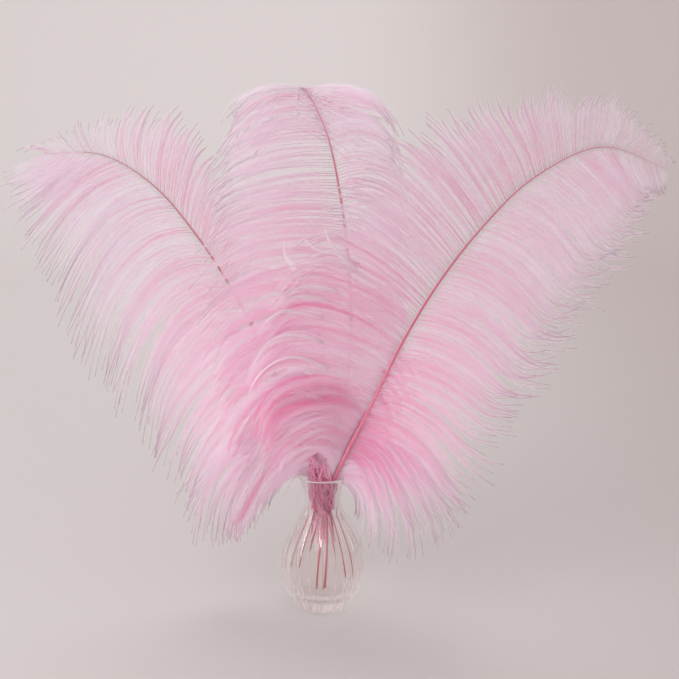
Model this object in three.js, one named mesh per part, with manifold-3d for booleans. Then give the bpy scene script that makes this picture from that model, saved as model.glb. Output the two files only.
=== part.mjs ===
// Three dyed ostrich plumes standing in a small fluted glass bud vase.
// Millimetres, +Z up, +X across the spray, origin at the centre of the vase's foot.
import * as THREE from 'three';
import { mergeVertices } from 'three/addons/utils/BufferGeometryUtils.js';
import Module from 'manifold-3d';

// ---- Vase ----
// Each profile runs upwards as [radius, height].
const VASE_OUTSIDE = [
  [19.6, 0], [21.2, 1.4], [24.6, 7], [29, 14], [32.2, 22.5], [33.6, 32], [33.2, 43],
  [30.6, 54], [26, 64], [20.4, 73], [16, 80], [14.1, 85.6], [14.4, 92], [15.6, 99],
  [17.8, 105], [20, 109.2],
];
const VASE_INSIDE = [
  [9, 9], [18, 11], [25, 16.5], [29, 24], [30.4, 32], [30, 43], [27.4, 53.4],
  [22.8, 62.6], [17.2, 71.4], [12.9, 78.6], [11.4, 85.6], [11.8, 93], [13.4, 101], [17.4, 108.4],
];
const VASE_HEIGHT = 110;
const LIP_RADIUS = 19;
const FLUTES = 18;
const FLUTE_DEPTH = 0.8;
const FLUTES_BOTTOM = 1;
const FLUTES_TOP = 84;
const STEPS_PER_FLUTE = 4;

// ---- Plumes ----
// The shaft runs from the cut quill up to the tip. Its first points, as many as QUILL_POINTS,
// stand bare in the vase. Every later point has the two places where the barbs that leave the
// shaft there end, one on each side of it. A leave angle is the one between barb and shaft,
// given at the foot of the vane and at its tip, in degrees.
const QUILL_POINTS = 2;
const PLUMES = {
  feather_left: {
    quillRadius: 1.5,
    shaft: [
      [22, -4, 23], [8, 3, 72],
      [-6, 9, 119], [-25, 18, 160], [-46, 27, 203], [-69, 33, 247],
      [-97, 37, 291], [-130, 41, 330], [-170, 44, 354], [-214, 46, 354],
    ],
    leftTips: [
      [-56, 12, 62], [-98, 8, 49], [-119, 10, 102], [-135, 12, 133],
      [-160, 14, 170], [-192, 18, 226], [-226, 26, 296], [-245, 36, 340],
    ],
    rightTips: [
      [12, 22, 122], [2, 34, 170], [-13, 42, 216], [-38, 49, 268],
      [-74, 52, 338], [-112, 51, 388], [-172, 49, 386], [-236, 47, 360],
    ],
    leftLeave: [62, 40],
    rightLeave: [50, 40],
  },
  feather_middle: {
    quillRadius: 1.9,
    shaft: [
      [-4, -8, 14], [4, -3, 68],
      [11, 4, 122], [18, 6, 172], [22, 9, 223], [20, 12, 275],
      [14, 18, 325], [3, 28, 374], [-16, 60, 404], [-21, 92, 366],
    ],
    leftTips: [
      [-41, 0, 106], [-67, 0, 127], [-66, 2, 181], [-73, 6, 246],
      [-72, 14, 308], [-64, 34, 368], [-58, 76, 382], [-46, 108, 326],
    ],
    rightTips: [
      [45, 12, 96], [63, 20, 130], [69, 26, 197], [67, 32, 261],
      [60, 38, 318], [50, 48, 384], [32, 80, 386], [4, 108, 326],
    ],
    leftLeave: [62, 80],
    rightLeave: [62, 80],
  },
  feather_right: {
    quillRadius: 1.6,
    shaft: [
      [-26, 8, 28], [-3, 1, 77],
      [17, -7, 126], [39, -15, 173], [60, -24, 221], [85, -32, 267],
      [115, -40, 310], [152, -43, 348], [200, -41, 370], [248, -38, 354],
    ],
    leftTips: [
      [-38, -48, 144], [-57, -66, 194], [-39, -68, 269], [0, -66, 334],
      [52, -66, 373], [118, -62, 412], [216, -54, 408], [257, -42, 358],
    ],
    rightTips: [
      [43, -40, 73], [98, -58, 101], [132, -64, 160], [153, -64, 194],
      [174, -62, 234], [200, -60, 274], [228, -54, 325], [246, -42, 341],
    ],
    leftLeave: [64, 84],
    rightLeave: [60, 30],
  },
};
const SHAFT_TIP_RADIUS = 0.3;
const SHAFT_TAPER = 1.3;
const SHAFT_STEPS = 36;
const SHAFT_SIDES = 8;
const QUILL_CUT = 1.5;
const VANE_ROWS = 24;
const VANE_STEPS = 4;
const VANE_HALF_AT_SHAFT = 0.8;
const VANE_HALF_AT_EDGE = 0.4;
const BARB_REACH = 0.5;

const wasm = await Module();
wasm.setup();

const glass = new THREE.MeshStandardMaterial({
  color: 0xeef0ee, roughness: 0.05, metalness: 0, transparent: true, opacity: 0.35,
});
const plumeColours = { feather_left: 0xe8c4d6, feather_middle: 0xe6bdd0, feather_right: 0xdfb4c9 };

const vectors = (points) => points.map((point) => new THREE.Vector3(...point));

const smoothCurve = (points) => new THREE.CatmullRomCurve3(vectors(points), false, 'catmullrom', 0.5);

function indexedGeometry(corners, triangles) {
  const geometry = new THREE.BufferGeometry();
  geometry.setAttribute('position', new THREE.Float32BufferAttribute(corners, 3));
  geometry.setIndex(triangles);
  return geometry;
}

function toSolid(geometry) {
  const vertProperties = new Float32Array(geometry.attributes.position.array);
  const triVerts = new Uint32Array(geometry.index.array);
  return new wasm.Manifold(new wasm.Mesh({ numProp: 3, vertProperties, triVerts }));
}

function toGeometry(solid) {
  const mesh = solid.getMesh();
  return indexedGeometry(Array.from(mesh.vertProperties), Array.from(mesh.triVerts));
}

// The flutes fade out at the foot and at the neck.
function fluteDepthAt(height) {
  if (height <= FLUTES_BOTTOM || height >= FLUTES_TOP) return 0;
  const along = (height - FLUTES_BOTTOM) / (FLUTES_TOP - FLUTES_BOTTOM);
  return FLUTE_DEPTH * Math.sqrt(Math.sin(Math.PI * along));
}

function vaseGeometry() {
  const profile = [
    [0, 0], ...VASE_OUTSIDE, [LIP_RADIUS, VASE_HEIGHT], ...VASE_INSIDE.slice().reverse(),
    [0, VASE_INSIDE[0][1]],
  ].map(([radius, height]) => new THREE.Vector2(radius, height));
  const turned = new THREE.LatheGeometry(profile, FLUTES * STEPS_PER_FLUTE);
  const place = turned.attributes.position;
  for (let i = 0; i < place.count; i += 1) {
    const rank = i % profile.length;
    if (rank > VASE_OUTSIDE.length) continue;
    const radius = Math.hypot(place.getX(i), place.getZ(i));
    if (radius === 0) continue;
    const angle = Math.atan2(place.getX(i), place.getZ(i));
    const depth = fluteDepthAt(place.getY(i)) * 0.5 * (1 - Math.cos(FLUTES * angle));
    const scale = (radius - depth) / radius;
    place.setXYZ(i, place.getX(i) * scale, place.getY(i), place.getZ(i) * scale);
  }
  turned.deleteAttribute('normal');
  turned.deleteAttribute('uv');
  turned.rotateX(Math.PI / 2);
  return mergeVertices(turned);
}

// A tapering round shaft with its lower end cut on a slant.
function shaftGeometry(curve, quillRadius) {
  const corners = [];
  const triangles = [];
  const frames = curve.computeFrenetFrames(SHAFT_STEPS, false);
  for (let i = 0; i <= SHAFT_STEPS; i += 1) {
    const centre = curve.getPointAt(i / SHAFT_STEPS);
    const thinning = (i / SHAFT_STEPS) ** SHAFT_TAPER;
    const radius = THREE.MathUtils.lerp(quillRadius, SHAFT_TIP_RADIUS, thinning);
    for (let j = 0; j < SHAFT_SIDES; j += 1) {
      const angle = (2 * Math.PI * j) / SHAFT_SIDES;
      const corner = centre.clone()
        .addScaledVector(frames.normals[i], radius * Math.cos(angle))
        .addScaledVector(frames.binormals[i], radius * Math.sin(angle));
      if (i === 0) corner.addScaledVector(frames.tangents[0], QUILL_CUT * radius * Math.cos(angle));
      corners.push(corner.x, corner.y, corner.z);
    }
  }
  for (let i = 0; i < SHAFT_STEPS; i += 1) {
    for (let j = 0; j < SHAFT_SIDES; j += 1) {
      const a = i * SHAFT_SIDES + j;
      const b = i * SHAFT_SIDES + ((j + 1) % SHAFT_SIDES);
      triangles.push(a, b, b + SHAFT_SIDES, a, b + SHAFT_SIDES, a + SHAFT_SIDES);
    }
  }
  const last = SHAFT_STEPS * SHAFT_SIDES;
  for (let j = 1; j < SHAFT_SIDES - 1; j += 1) {
    triangles.push(0, j + 1, j);
    triangles.push(last, last + j, last + j + 1);
  }
  return indexedGeometry(corners, triangles);
}

// One barb's path: it leaves the shaft at its angle and bends over to where it ends.
function barbPath(root, along, tip, leaveDegrees) {
  const toTip = tip.clone().sub(root);
  const aside = toTip.clone().addScaledVector(along, -toTip.dot(along)).normalize();
  const angle = THREE.MathUtils.degToRad(leaveDegrees);
  const knee = root.clone()
    .addScaledVector(along, Math.cos(angle) * BARB_REACH * toTip.length())
    .addScaledVector(aside, Math.sin(angle) * BARB_REACH * toTip.length());
  return new THREE.QuadraticBezierCurve3(root, knee, tip);
}

// The vane's middle surface, a row of points for each step up the shaft.
function vaneRows(plume) {
  const shaft = smoothCurve(plume.shaft);
  const leftEdge = smoothCurve(plume.leftTips);
  const rightEdge = smoothCurve(plume.rightTips);
  const vaneStart = QUILL_POINTS / (plume.shaft.length - 1);
  const rows = [];
  for (let i = 0; i <= VANE_ROWS; i += 1) {
    const up = i / VANE_ROWS;
    const onShaft = vaneStart + up * (1 - vaneStart);
    const root = shaft.getPoint(onShaft);
    const along = shaft.getTangent(onShaft);
    const leave = ([foot, tip]) => THREE.MathUtils.lerp(foot, tip, up);
    const left = barbPath(root, along, leftEdge.getPoint(up), leave(plume.leftLeave));
    const right = barbPath(root, along, rightEdge.getPoint(up), leave(plume.rightLeave));
    rows.push([...left.getPoints(VANE_STEPS).reverse(), ...right.getPoints(VANE_STEPS).slice(1)]);
  }
  return rows;
}

function surfaceNormal(rows, i, j) {
  const before = rows[Math.max(i - 1, 0)][j];
  const after = rows[Math.min(i + 1, rows.length - 1)][j];
  const width = rows[i].length - 1;
  const across = rows[i][Math.min(j + 1, width)].clone().sub(rows[i][Math.max(j - 1, 0)]);
  return after.clone().sub(before).cross(across).normalize();
}

// A thin closed sheet on both sides of the vane's middle surface.
function vaneGeometry(rows) {
  const width = rows[0].length;
  const count = rows.length * width;
  const front = [];
  const back = [];
  rows.forEach((row, i) => row.forEach((point, j) => {
    const fromShaft = Math.abs(j - VANE_STEPS) / VANE_STEPS;
    const half = THREE.MathUtils.lerp(VANE_HALF_AT_SHAFT, VANE_HALF_AT_EDGE, fromShaft);
    const offset = surfaceNormal(rows, i, j).multiplyScalar(half);
    front.push(...point.clone().add(offset).toArray());
    back.push(...point.clone().sub(offset).toArray());
  }));
  const triangles = [];
  for (let i = 0; i < rows.length - 1; i += 1) {
    for (let j = 0; j < width - 1; j += 1) {
      const a = i * width + j;
      const b = a + width;
      const c = b + 1;
      const d = a + 1;
      triangles.push(a, b, c, a, c, d);
      triangles.push(count + a, count + c, count + b, count + a, count + d, count + c);
    }
  }
  const edge = [];
  for (let i = 0; i < rows.length; i += 1) edge.push(i * width);
  for (let j = 1; j < width; j += 1) edge.push((rows.length - 1) * width + j);
  for (let i = rows.length - 2; i >= 0; i -= 1) edge.push(i * width + width - 1);
  for (let j = width - 2; j > 0; j -= 1) edge.push(j);
  edge.forEach((p, k) => {
    const q = edge[(k + 1) % edge.length];
    triangles.push(p, count + p, count + q, p, count + q, q);
  });
  return indexedGeometry([...front, ...back], triangles);
}

function plumeGeometry(plume) {
  const shaft = toSolid(shaftGeometry(smoothCurve(plume.shaft), plume.quillRadius));
  const vane = toSolid(vaneGeometry(vaneRows(plume)));
  return toGeometry(shaft.add(vane));
}

function named(name, geometry, material) {
  const mesh = new THREE.Mesh(geometry, material);
  mesh.name = name;
  return mesh;
}

const spray = new THREE.Group();
spray.add(named('vase', vaseGeometry(), glass));
for (const [name, plume] of Object.entries(PLUMES)) {
  const material = new THREE.MeshStandardMaterial({
    color: plumeColours[name], roughness: 0.85, metalness: 0,
  });
  spray.add(named(name, plumeGeometry(plume), material));
}

export default spray;
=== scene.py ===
import math

import bpy
import numpy as np
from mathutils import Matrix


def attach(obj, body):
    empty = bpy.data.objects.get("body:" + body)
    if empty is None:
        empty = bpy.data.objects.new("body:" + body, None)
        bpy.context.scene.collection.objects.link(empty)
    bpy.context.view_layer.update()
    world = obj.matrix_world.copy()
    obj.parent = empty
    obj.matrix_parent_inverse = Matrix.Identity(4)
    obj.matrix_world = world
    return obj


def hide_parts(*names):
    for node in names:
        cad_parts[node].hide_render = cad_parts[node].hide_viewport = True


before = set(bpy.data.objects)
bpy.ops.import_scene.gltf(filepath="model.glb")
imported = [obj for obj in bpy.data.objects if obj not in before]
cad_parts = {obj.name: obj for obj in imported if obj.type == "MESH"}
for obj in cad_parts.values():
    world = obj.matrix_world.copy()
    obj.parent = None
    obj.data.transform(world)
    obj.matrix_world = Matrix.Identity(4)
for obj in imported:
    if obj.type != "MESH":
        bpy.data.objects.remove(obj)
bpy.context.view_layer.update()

bl_info = {
    "name": "Ostrich plumes in a bud vase",
    "version": (1, 0, 0),
    "blender": (4, 5, 0),
    "location": "3D Viewport > Sidebar > Plumes",
    "description": "Grows dyed ostrich plumes barb by barb and stands them in a fluted glass bud vase",
    "category": "Object",
}

MM = 0.001
BODY = "root"

# ---- Vase, in millimetres: each profile runs upwards as (radius, height) ----
VASE_OUTSIDE = [
    (19.6, 0), (21.2, 1.4), (24.6, 7), (29, 14), (32.2, 22.5), (33.6, 32), (33.2, 43),
    (30.6, 54), (26, 64), (20.4, 73), (16, 80), (14.1, 85.6), (14.4, 92), (15.6, 99),
    (17.8, 105), (20, 109.2),
]
VASE_INSIDE = [
    (9, 9), (18, 11), (25, 16.5), (29, 24), (30.4, 32), (30, 43), (27.4, 53.4),
    (22.8, 62.6), (17.2, 71.4), (12.9, 78.6), (11.6, 85.6), (12.2, 93), (14.1, 101), (18.1, 108.6),
]
VASE_HEIGHT = 110
LIP_RADIUS = 19
FLUTES = 18
FLUTES_BOTTOM = 0.6
FLUTES_TOP = 86
FLUTES_RISE = 3   # over which they deepen above the foot
FLUTES_FADE = 2.5   # over which they end under their arches
ARCH_HEIGHT = 7
SIDES_PER_FLUTE = 8
SUBDIVISIONS = 2

# ---- Plumes, in millimetres ----
# The shaft runs from the cut quill to the tip. A vane is one side of it, and a ruff is a short layer
# over the vane's foot. Its barbs leave the shaft within the span, given as shares of the shaft, and
# end along the tips, which run from the first barb to the last. Values in brackets are spread
# evenly from the first barb to the last. Leave is the angle between barb and shaft, and reach says
# how far the barb keeps to it. Arch lifts the barb off the plume's face. A lead under 1 sends the
# lower barbs' ends further up the tips. Curl turns a barb's end towards the plume's tip, in
# degrees, or back towards the quill where it is negative. Droop lets it hang, and gather draws
# neighbours into locks. Dye is how deep the colour is, and loft how far the locks stand out. Soft
# says how downy the barbs near the quill are. Bare is the stretch of shaft left free of down.
# The deeper dye towards the foot of each vane is partly the plume's own dye and partly painted shade, for
# the deep pink pockets among the lower barbs.
VANE_SPAN = (2 / 9, 1)
MIDDLE_VANE = {
    "leave": (62, 86), "reach": (0.5, 0.6), "lead": 0.9, "curl": (-20, -16, -16, -20),
    "droop": 4, "gather": (0.4, 0.16), "loft": 1, "soft": 0.7,
}
MIDDLE_RUFF = {
    "span": (0.17, 0.27), "leave": (26, 55), "reach": (0.85, 0.6), "arch": (0.1, 0.1), "lead": 1,
    "barbs": 34, "curl": (-20, 10), "droop": 5, "gather": (0.5, 0.5), "dye": (0.1, 0.1), "loft": 2,
}
PLUMES = {
    "left": {
        "node": "feather_left",
        "quill_radius": 1.5,
        "bare": (0.575, 0.93),
        "shaft": [
            (22, -4, 23), (8, 3, 72),
            (-6, 9, 119), (-25, 18, 160), (-46, 27, 203), (-69, 33, 247),
            (-97, 37, 291), (-130, 41, 330), (-170, 44, 354), (-214, 46, 354),
        ],
        "vanes": {
            "lower": {
                "tips": [
                    (-56, 12, 62), (-98, 8, 49), (-119, 10, 102), (-135, 12, 133),
                    (-160, 14, 170), (-192, 18, 226), (-226, 26, 296), (-245, 36, 340),
                ],
                "leave": (58, 44), "reach": (0.5, 0.44), "arch": (0.06, 0), "lead": 0.74, "barbs": 160,
                "curl": (-4, -6, 4, 14), "droop": 4, "gather": (0.3, 0.16),
                "dye": (0.24, 0.08, -0.02, -0.06), "loft": 1,
            },
            "upper": {
                "tips": [
                    (12, 22, 122), (2, 34, 170), (-13, 42, 216), (-38, 49, 268),
                    (-74, 52, 338), (-112, 51, 388), (-172, 49, 386), (-236, 47, 360),
                ],
                "leave": (48, 40), "reach": (0.5, 0.5), "arch": (0.12, 0), "lead": 0.95, "barbs": 150,
                "curl": (-50, -44, -10, 12), "droop": 6, "gather": (0.5, 0.16), "loft": 1.5,
                "dye": (0.45, 0.35, 0.08, -0.06), "soft": 0.8,
            },
            "ruff": {
                "span": (0.165, 0.27),
                "tips": [(-44, 14, 92), (-62, 16, 66), (-84, 14, 50), (-106, 10, 78), (-112, 10, 98)],
                "leave": (30, 55), "reach": (0.8, 0.55), "arch": (0.1, 0.1), "lead": 1, "barbs": 44,
                "curl": (-16, 10), "droop": 6, "gather": (0.55, 0.45), "dye": (0, 0), "loft": 2,
            },
        },
    },
    "middle": {
        "node": "feather_middle",
        "quill_radius": 1.9,
        "bare": (0.635, 0.91),
        "shaft": [
            (-4, -8, 14), (4, -3, 68),
            (11, 4, 122), (18, 6, 172), (22, 9, 223), (20, 12, 275),
            (14, 18, 325), (3, 28, 374), (-16, 60, 404), (-21, 92, 366),
        ],
        "vanes": {
            "left": {
                **MIDDLE_VANE,
                "tips": [
                    (-41, 0, 106), (-72, -4, 130), (-84, -6, 184), (-92, -4, 244),
                    (-86, 4, 300), (-78, 14, 348), (-69, 32, 384), (-54, 96, 346),
                ],
                "arch": (0.05, 0.1, 0.22, 0.42), "barbs": 170, "dye": (0.4, 0.26, 0, -0.02),
            },
            "right": {
                **MIDDLE_VANE,
                "tips": [
                    (45, 12, 96), (63, 18, 130), (69, 20, 197), (67, 22, 261),
                    (64, 20, 310), (62, 24, 352), (53, 38, 388), (18, 98, 346),
                ],
                "arch": (0.05, 0.08, 0.08, 0.04), "barbs": 160, "dye": (0.3, 0.2, 0, 0),
            },
            "ruff_left": {
                **MIDDLE_RUFF,
                "tips": [(-36, 10, 106), (-50, 10, 88), (-60, 5, 112), (-64, 0, 136)],
            },
            "ruff_right": {
                **MIDDLE_RUFF,
                "tips": [(26, 8, 84), (39, 10, 72), (55, 12, 84), (66, 14, 112)],
            },
        },
    },
    "right": {
        "node": "feather_right",
        "quill_radius": 1.6,
        "bare": (0, 1.1),
        "shaft": [
            (-26, 8, 28), (-3, 1, 77),
            (17, -7, 126), (39, -15, 173), (60, -24, 221), (85, -32, 267),
            (115, -40, 310), (152, -43, 348), (200, -41, 370), (248, -38, 354),
        ],
        "vanes": {
            "upper": {
                "tips": [
                    (-40, -48, 140), (-57, -66, 190), (-42, -68, 262), (0, -66, 330),
                    (52, -66, 372), (118, -62, 405), (200, -55, 408), (257, -42, 358),
                ],
                "leave": (62, 76), "reach": (0.6, 0.5), "arch": (0.06, 0), "lead": 0.95, "barbs": 210,
                "curl": (-80, -60, 14, 80), "droop": 3, "gather": (0.7, 0.4, 0.12, 0.08),
                "dye": (0.2, 0.25, 0.17, 0.08, 0.04, 0, 0), "loft": 1, "soft": 1,
            },
            "lower": {
                "tips": [
                    (43, -40, 73), (98, -58, 101), (132, -64, 160), (153, -64, 194),
                    (174, -62, 234), (200, -60, 274), (228, -54, 325), (246, -42, 341),
                ],
                "leave": (56, 62), "reach": (0.46, 0.5), "arch": (0.04, 0), "lead": 0.84, "barbs": 190,
                "curl": (20, 70, 90, 60), "droop": 3, "gather": (0.34, 0.2, 0.16, 0.12),
                "dye": (0.46, 0.16, 0, 0), "loft": 1,
            },
            "ruff_left": {
                "span": (0.17, 0.31),
                "tips": [
                    (-66, -22, 52), (-72, -32, 84), (-74, -42, 120), (-66, -50, 152), (-58, -56, 178),
                    (-50, -60, 200),
                ],
                "leave": (20, 52), "reach": (0.95, 0.7), "arch": (0.08, 0.04), "lead": 1, "barbs": 54,
                "curl": (-8, -40), "droop": 5, "gather": (0.7, 0.7), "dye": (0, 0.18), "loft": 2.2,
                "soft": 1,
            },
            "ruff_right": {
                "span": (0.17, 0.28),
                "tips": [(40, -28, 75), (62, -34, 58), (80, -40, 68), (99, -44, 92), (108, -48, 112)],
                "leave": (36, 52), "reach": (0.75, 0.5), "arch": (0.08, 0.08), "lead": 1, "barbs": 50,
                "curl": (-20, 20), "droop": 5, "gather": (0.3, 0.25), "dye": (-0.05, -0.05), "loft": 2,
            },
        },
    },
}
# Tufts that have sprung out of the front plume's upper vane, each as its route to its end.
LOOSE_TUFTS = [
    [(-9, -57, 266), (-14, -67, 277), (-20, -71, 289), (-25, -73, 297), (-26, -75, 308)],
    [(25, -51, 282), (19, -62, 290), (9, -68, 298), (-3, -72, 301), (-14, -75, 311)],
    [(26, -51, 285), (19, -61, 290), (13, -67, 299), (6, -72, 307), (2, -75, 320)],
    [(12, -53, 264), (4, -64, 271), (-11, -70, 274), (-22, -73, 272), (-32, -75, 266)],
    [(9, -53, 260), (-2, -65, 265), (-15, -70, 267), (-26, -74, 265), (-35, -75, 258)],
    [(1, -55, 249), (-15, -67, 256), (-28, -72, 257), (-39, -75, 250), (-46, -75, 238)],
    [(3, -53, 229), (-14, -66, 238), (-29, -71, 238), (-41, -75, 231), (-49, -75, 217)],
    [(5, -51, 209), (-15, -64, 221), (-31, -70, 220), (-44, -74, 211), (-53, -75, 196)],
    [(0, -47, 184), (-16, -61, 194), (-30, -67, 193), (-41, -71, 184), (-50, -73, 170)],
]
TUFT_BARBS = 7
TUFT_CUTS = (0.84, 1)   # how much of the route its barbs cover
TUFT_SPREAD = 1.5
TUFT_FLUFF = 0.2
TUFT_THICKNESS = 1.0
TUFT_DYE = (0.02, 0.04)   # the usual depth, and how far it strays
TUFT_TRANSLUCENCY = 0.1   # matted, so that they catch the light
# Down pushed into the vase with the quills: how many strands, and the space that holds them.
TUCKED_STRANDS = 80
TUCKED_TOP = (106, 132)
TUCKED_BOTTOM = (50, 92)
TUCKED_RADIUS = 14
TUCKED_GAP = 1.2   # from the glass, where a strand turns
TUCKED_FILL = ((60, 84), (0.45, 1))   # how much of the room it takes, by height
TUCKED_TURN = 0.9   # radians
TUCKED_FLUFF = 0.45
TUCKED_THICKNESS = 2
TUCKED_DYE = (0.7, 0.45)
TUCKED_DEEPEST = 1.2
TUCKED_TRANSLUCENCY = 0.2
SHAFT_TIP_RADIUS = 0.3
SHAFT_TAPER = 1.3
SHAFT_STEPS = 90
QUILL_WALL = 0.35
QUILL_HOLLOW = 9
QUILL_CUT_ANGLE = 50
GROOVE_SPAN = (0.22, 0.3)   # where it starts and where it is full, as shares of the shaft
GROOVE_WIDTH = 0.5   # this and the depth are shares of the shaft's radius
GROOVE_DEPTH = 0.3
FELT_RISE = 0.04
BARE_EDGES = (0.02, 0.01)   # how gradually the bare stretch starts and ends

# ---- Barbs, in millimetres and degrees ----
FIRST_SEED = 11
BARB_STEPS = 15
# The rings lie closer together at the curled end.
RING_SHARES = 1 - (1 - np.linspace(0, 1, BARB_STEPS + 1)) ** 1.35
TUBE_LANE = 0.3   # of each barb's strip in the map, beside its barbules
BARB_SIDES = 3
BARB_TAPER = 0.35
# How much barbs of one vane differ.
PLACE_VARIES = (0.25, 0.75)   # within its own step along the shaft
LENGTH_VARIES = 0.065
SWEEP_VARIES = 0.018
LEAVE_VARIES = 1.5
CURL_VARIES = (0.7, 1.3)
CURL_STRAYS = 5
DROOP_VARIES = (0.4, 1.6)
CURL_FROM = 0.68   # of the barb's length
WAVER = 2
WAVES = (0.8, 2.4)
# A barb starts at the shaft's side, or where down hides the shaft, across its face. All three are
# in radii of the shaft.
ROOT_ASIDE = 0.8
HIDDEN_ACROSS = 2.6
HIDDEN_IN_FRONT = 1.6
# Locks, by the number of their barbs, with where they close up and how far they stray.
SMALL_LOCK = (1, 3)
LARGE_LOCK = (5, 13)
SMALL_FROM = 0.4
LARGE_FROM = 0.45
LARGE_PULL = 0.25   # beside the small locks' pull, and what softness adds to it
SOFT_PULL = 0.35
LOCK_LIFT = 0.7
LARGE_SWING = 1
SMALL_SWING = 0.7
UNRULY = 2.4   # how much further soft locks stray
# How much the depth of the dye differs from lock to lock and from barb to barb.
SMALL_TONE = 0.05
BARB_TONE = 0.07
LARGE_TONE = 0.03
LEAST_DYE = 0.12
# Partly painted shade: the plume's foot is dyed deeper also for the shade among its lower barbs.
FOOT_DYE_AND_SHADE = 0.05   # more of it towards the foot of the plume
FOOT_SPAN = (0.62, 0.2)
# Values along a barb, as (shares of its length, values). The bare foot of each barb shows deep, and
# its down shows pale.
BARB_DYE = ((0, 0.25, 0.45, 1), (1.8, 1.4, 0.6, 0.2))
BARBULE_DYE = ((0, 0.35, 1), (1.2, 1, 0.35))
SOFT_DYE = ((0, 0.35, 1), (0.35, 1, 1.35))
BARBULE_SIZES = ((0, 0.12, 0.35, 0.6, 0.85, 1), (0.35, 0.75, 1, 1, 0.5, 0.15))
SOFT_SIZES = ((0, 0.12, 0.35, 0.6, 0.85, 1), (0.4, 0.9, 1.05, 1.1, 1, 0.6))
SOFT_UP_TO = (0.5, 0.15)   # of the vane
BARBULE_SPREAD = (9, 30)   # off the barb
BARBULE_TILT = 13
BARBULE_VARIES = (0.6, 1.25)
SHORT_BARB = 60   # a shorter one has shorter barbules

# ---- Finishes, in metres ----
KERATIN_IOR = 1.54
DYE_PATCH = 0.012
DYE_UNEVEN = 0.24
# Where the painted shade on the barb ends starts along the barb, and how far it blends to the shaded
# colour.
SHADED_END_FROM = 0.6   # of a barb's length
SHADED_END_SHARE = 0.85
QUILL_MOTTLE = 0.0015
GLASS_WAVE = 0.009
GLASS_WAVE_DEPTH = 0.00013
PAPER_GRAIN = 0.004
# Where the paper's painted shade fades: on the floor in front, and towards its right.
FLOOR_SHADE_FADE = (0.3, 2.45)   # from front to back
SIDE_SHADE_FADE = (-0.02, 0.56)   # from left to right

# ---- Stage, in metres and degrees ----
CAMERA_PLACE = (0.0132, -1.1132, 0.4956)
CAMERA_DOWN = 14
FOCAL_PIXELS = 1500
IMAGE_PIXELS = 679
SENSOR = 36   # millimetres
PAPER_FRONT, PAPER_BACK, PAPER_HALF_WIDTH, PAPER_HEIGHT = -3.0, 2.4, 4.0, 3.0
PAPER_BEND = 1.1
PAPER_BEND_STEPS = 24
# Each light's place, its size and the point it faces. Its power is among the stage's settings.
LIGHTS = {
    "key": ((-0.95, -1.6, 1.6), (1.8, 1.8), (0, 0, 0.2)),
    "fill": ((1.5, -1.5, 0.8), (1.4, 1.4), (0, 0, 0.2)),
    "front": ((-0.16, -0.55, 0.06), (0.2, 0.2), (-0.03, -0.03, 0.14)),
    "strip": ((-0.75, -0.75, 0.45), (0.05, 0.6), (0, 0, 0.06)),
    "top": ((-0.3, 0.9, 2.0), (1.6, 1.0), (0, 0.1, 0.25)),
    "backdrop": ((-0.2, 1.1, 2.2), (1.4, 0.8), (0, 2.4, 0.7)),
}
FRONT_SPREAD = 30
GLASS_BOUNCES = 128   # light runs a long way inside the vase's wall before it comes out at the lip
SOFT_BOUNCES = 12


# ---- Small helpers ----
def linear(hex_colour):
    """An sRGB hex colour as linear red, green and blue."""
    values = [int(hex_colour[i:i + 2], 16) / 255 for i in (1, 3, 5)]
    return tuple(v / 12.92 if v <= 0.04045 else ((v + 0.055) / 1.055) ** 2.4 for v in values)


def deselect_all():
    if bpy.context.mode != "OBJECT":
        bpy.ops.object.mode_set(mode="OBJECT")
    bpy.ops.object.select_all(action="DESELECT")


def smoothstep(low, high, x):
    """0 up to low and 1 from high on, or the other way round where low is the larger."""
    w = np.clip((x - low) / (high - low), 0, 1)
    return w * w * (3 - 2 * w)


def unit(vectors):
    return vectors / np.maximum(np.linalg.norm(vectors, axis=-1, keepdims=True), 1e-9)


def through(points, place):
    """The smooth curve through the points, at each place from 0 at the first to 1 at the last."""
    points = np.asarray(points, float)
    last = len(points) - 1
    padded = np.vstack([2 * points[0] - points[1], points, 2 * points[-1] - points[-2]])
    at = np.clip(np.asarray(place, float), 0, 1) * last
    i = np.minimum(at.astype(int), last - 1)
    w = (at - i)[..., None]
    p0, p1, p2, p3 = (padded[i + k] for k in range(4))
    t1, t2 = 0.5 * (p2 - p0), 0.5 * (p3 - p1)
    return p1 + t1 * w + (3 * (p2 - p1) - 2 * t1 - t2) * w ** 2 + (2 * (p1 - p2) + t1 + t2) * w ** 3


def heading(points, place):
    """The curve's direction at each place."""
    step = 1e-3
    place = np.asarray(place, float)
    return unit(through(points, np.minimum(place + step, 1)) - through(points, np.maximum(place - step, 0)))


def read_points(mesh):
    """A mesh's points, in millimetres."""
    points = np.empty(len(mesh.vertices) * 3)
    mesh.vertices.foreach_get("co", points)
    return points.reshape(-1, 3) / MM


def write_points(mesh, points):
    mesh.vertices.foreach_set("co", (points * MM).ravel())
    mesh.update()


def add_values(mesh, **named_values):
    """Stores one value for each point under each name, for the materials to read."""
    for name, values in named_values.items():
        attribute = mesh.attributes.new(name, "FLOAT", "POINT")
        attribute.data.foreach_set("value", values.astype(np.float32))


# ---- Materials ----
def new_material(name):
    material = bpy.data.materials.new(name)
    material.use_nodes = True
    material.node_tree.nodes.clear()
    return material


def add_node(material, kind, settings=(), inputs=(), links=()):
    """Adds a node with its settings, its own values and its links as (input, other node, its output)."""
    node = material.node_tree.nodes.new(kind)
    for key, value in dict(settings).items():
        setattr(node, key, value)
    for key, value in dict(inputs).items():
        node.inputs[key].default_value = value
    for key, other, output in links:
        material.node_tree.links.new(other.outputs[output], node.inputs[key])
    return node


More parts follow.
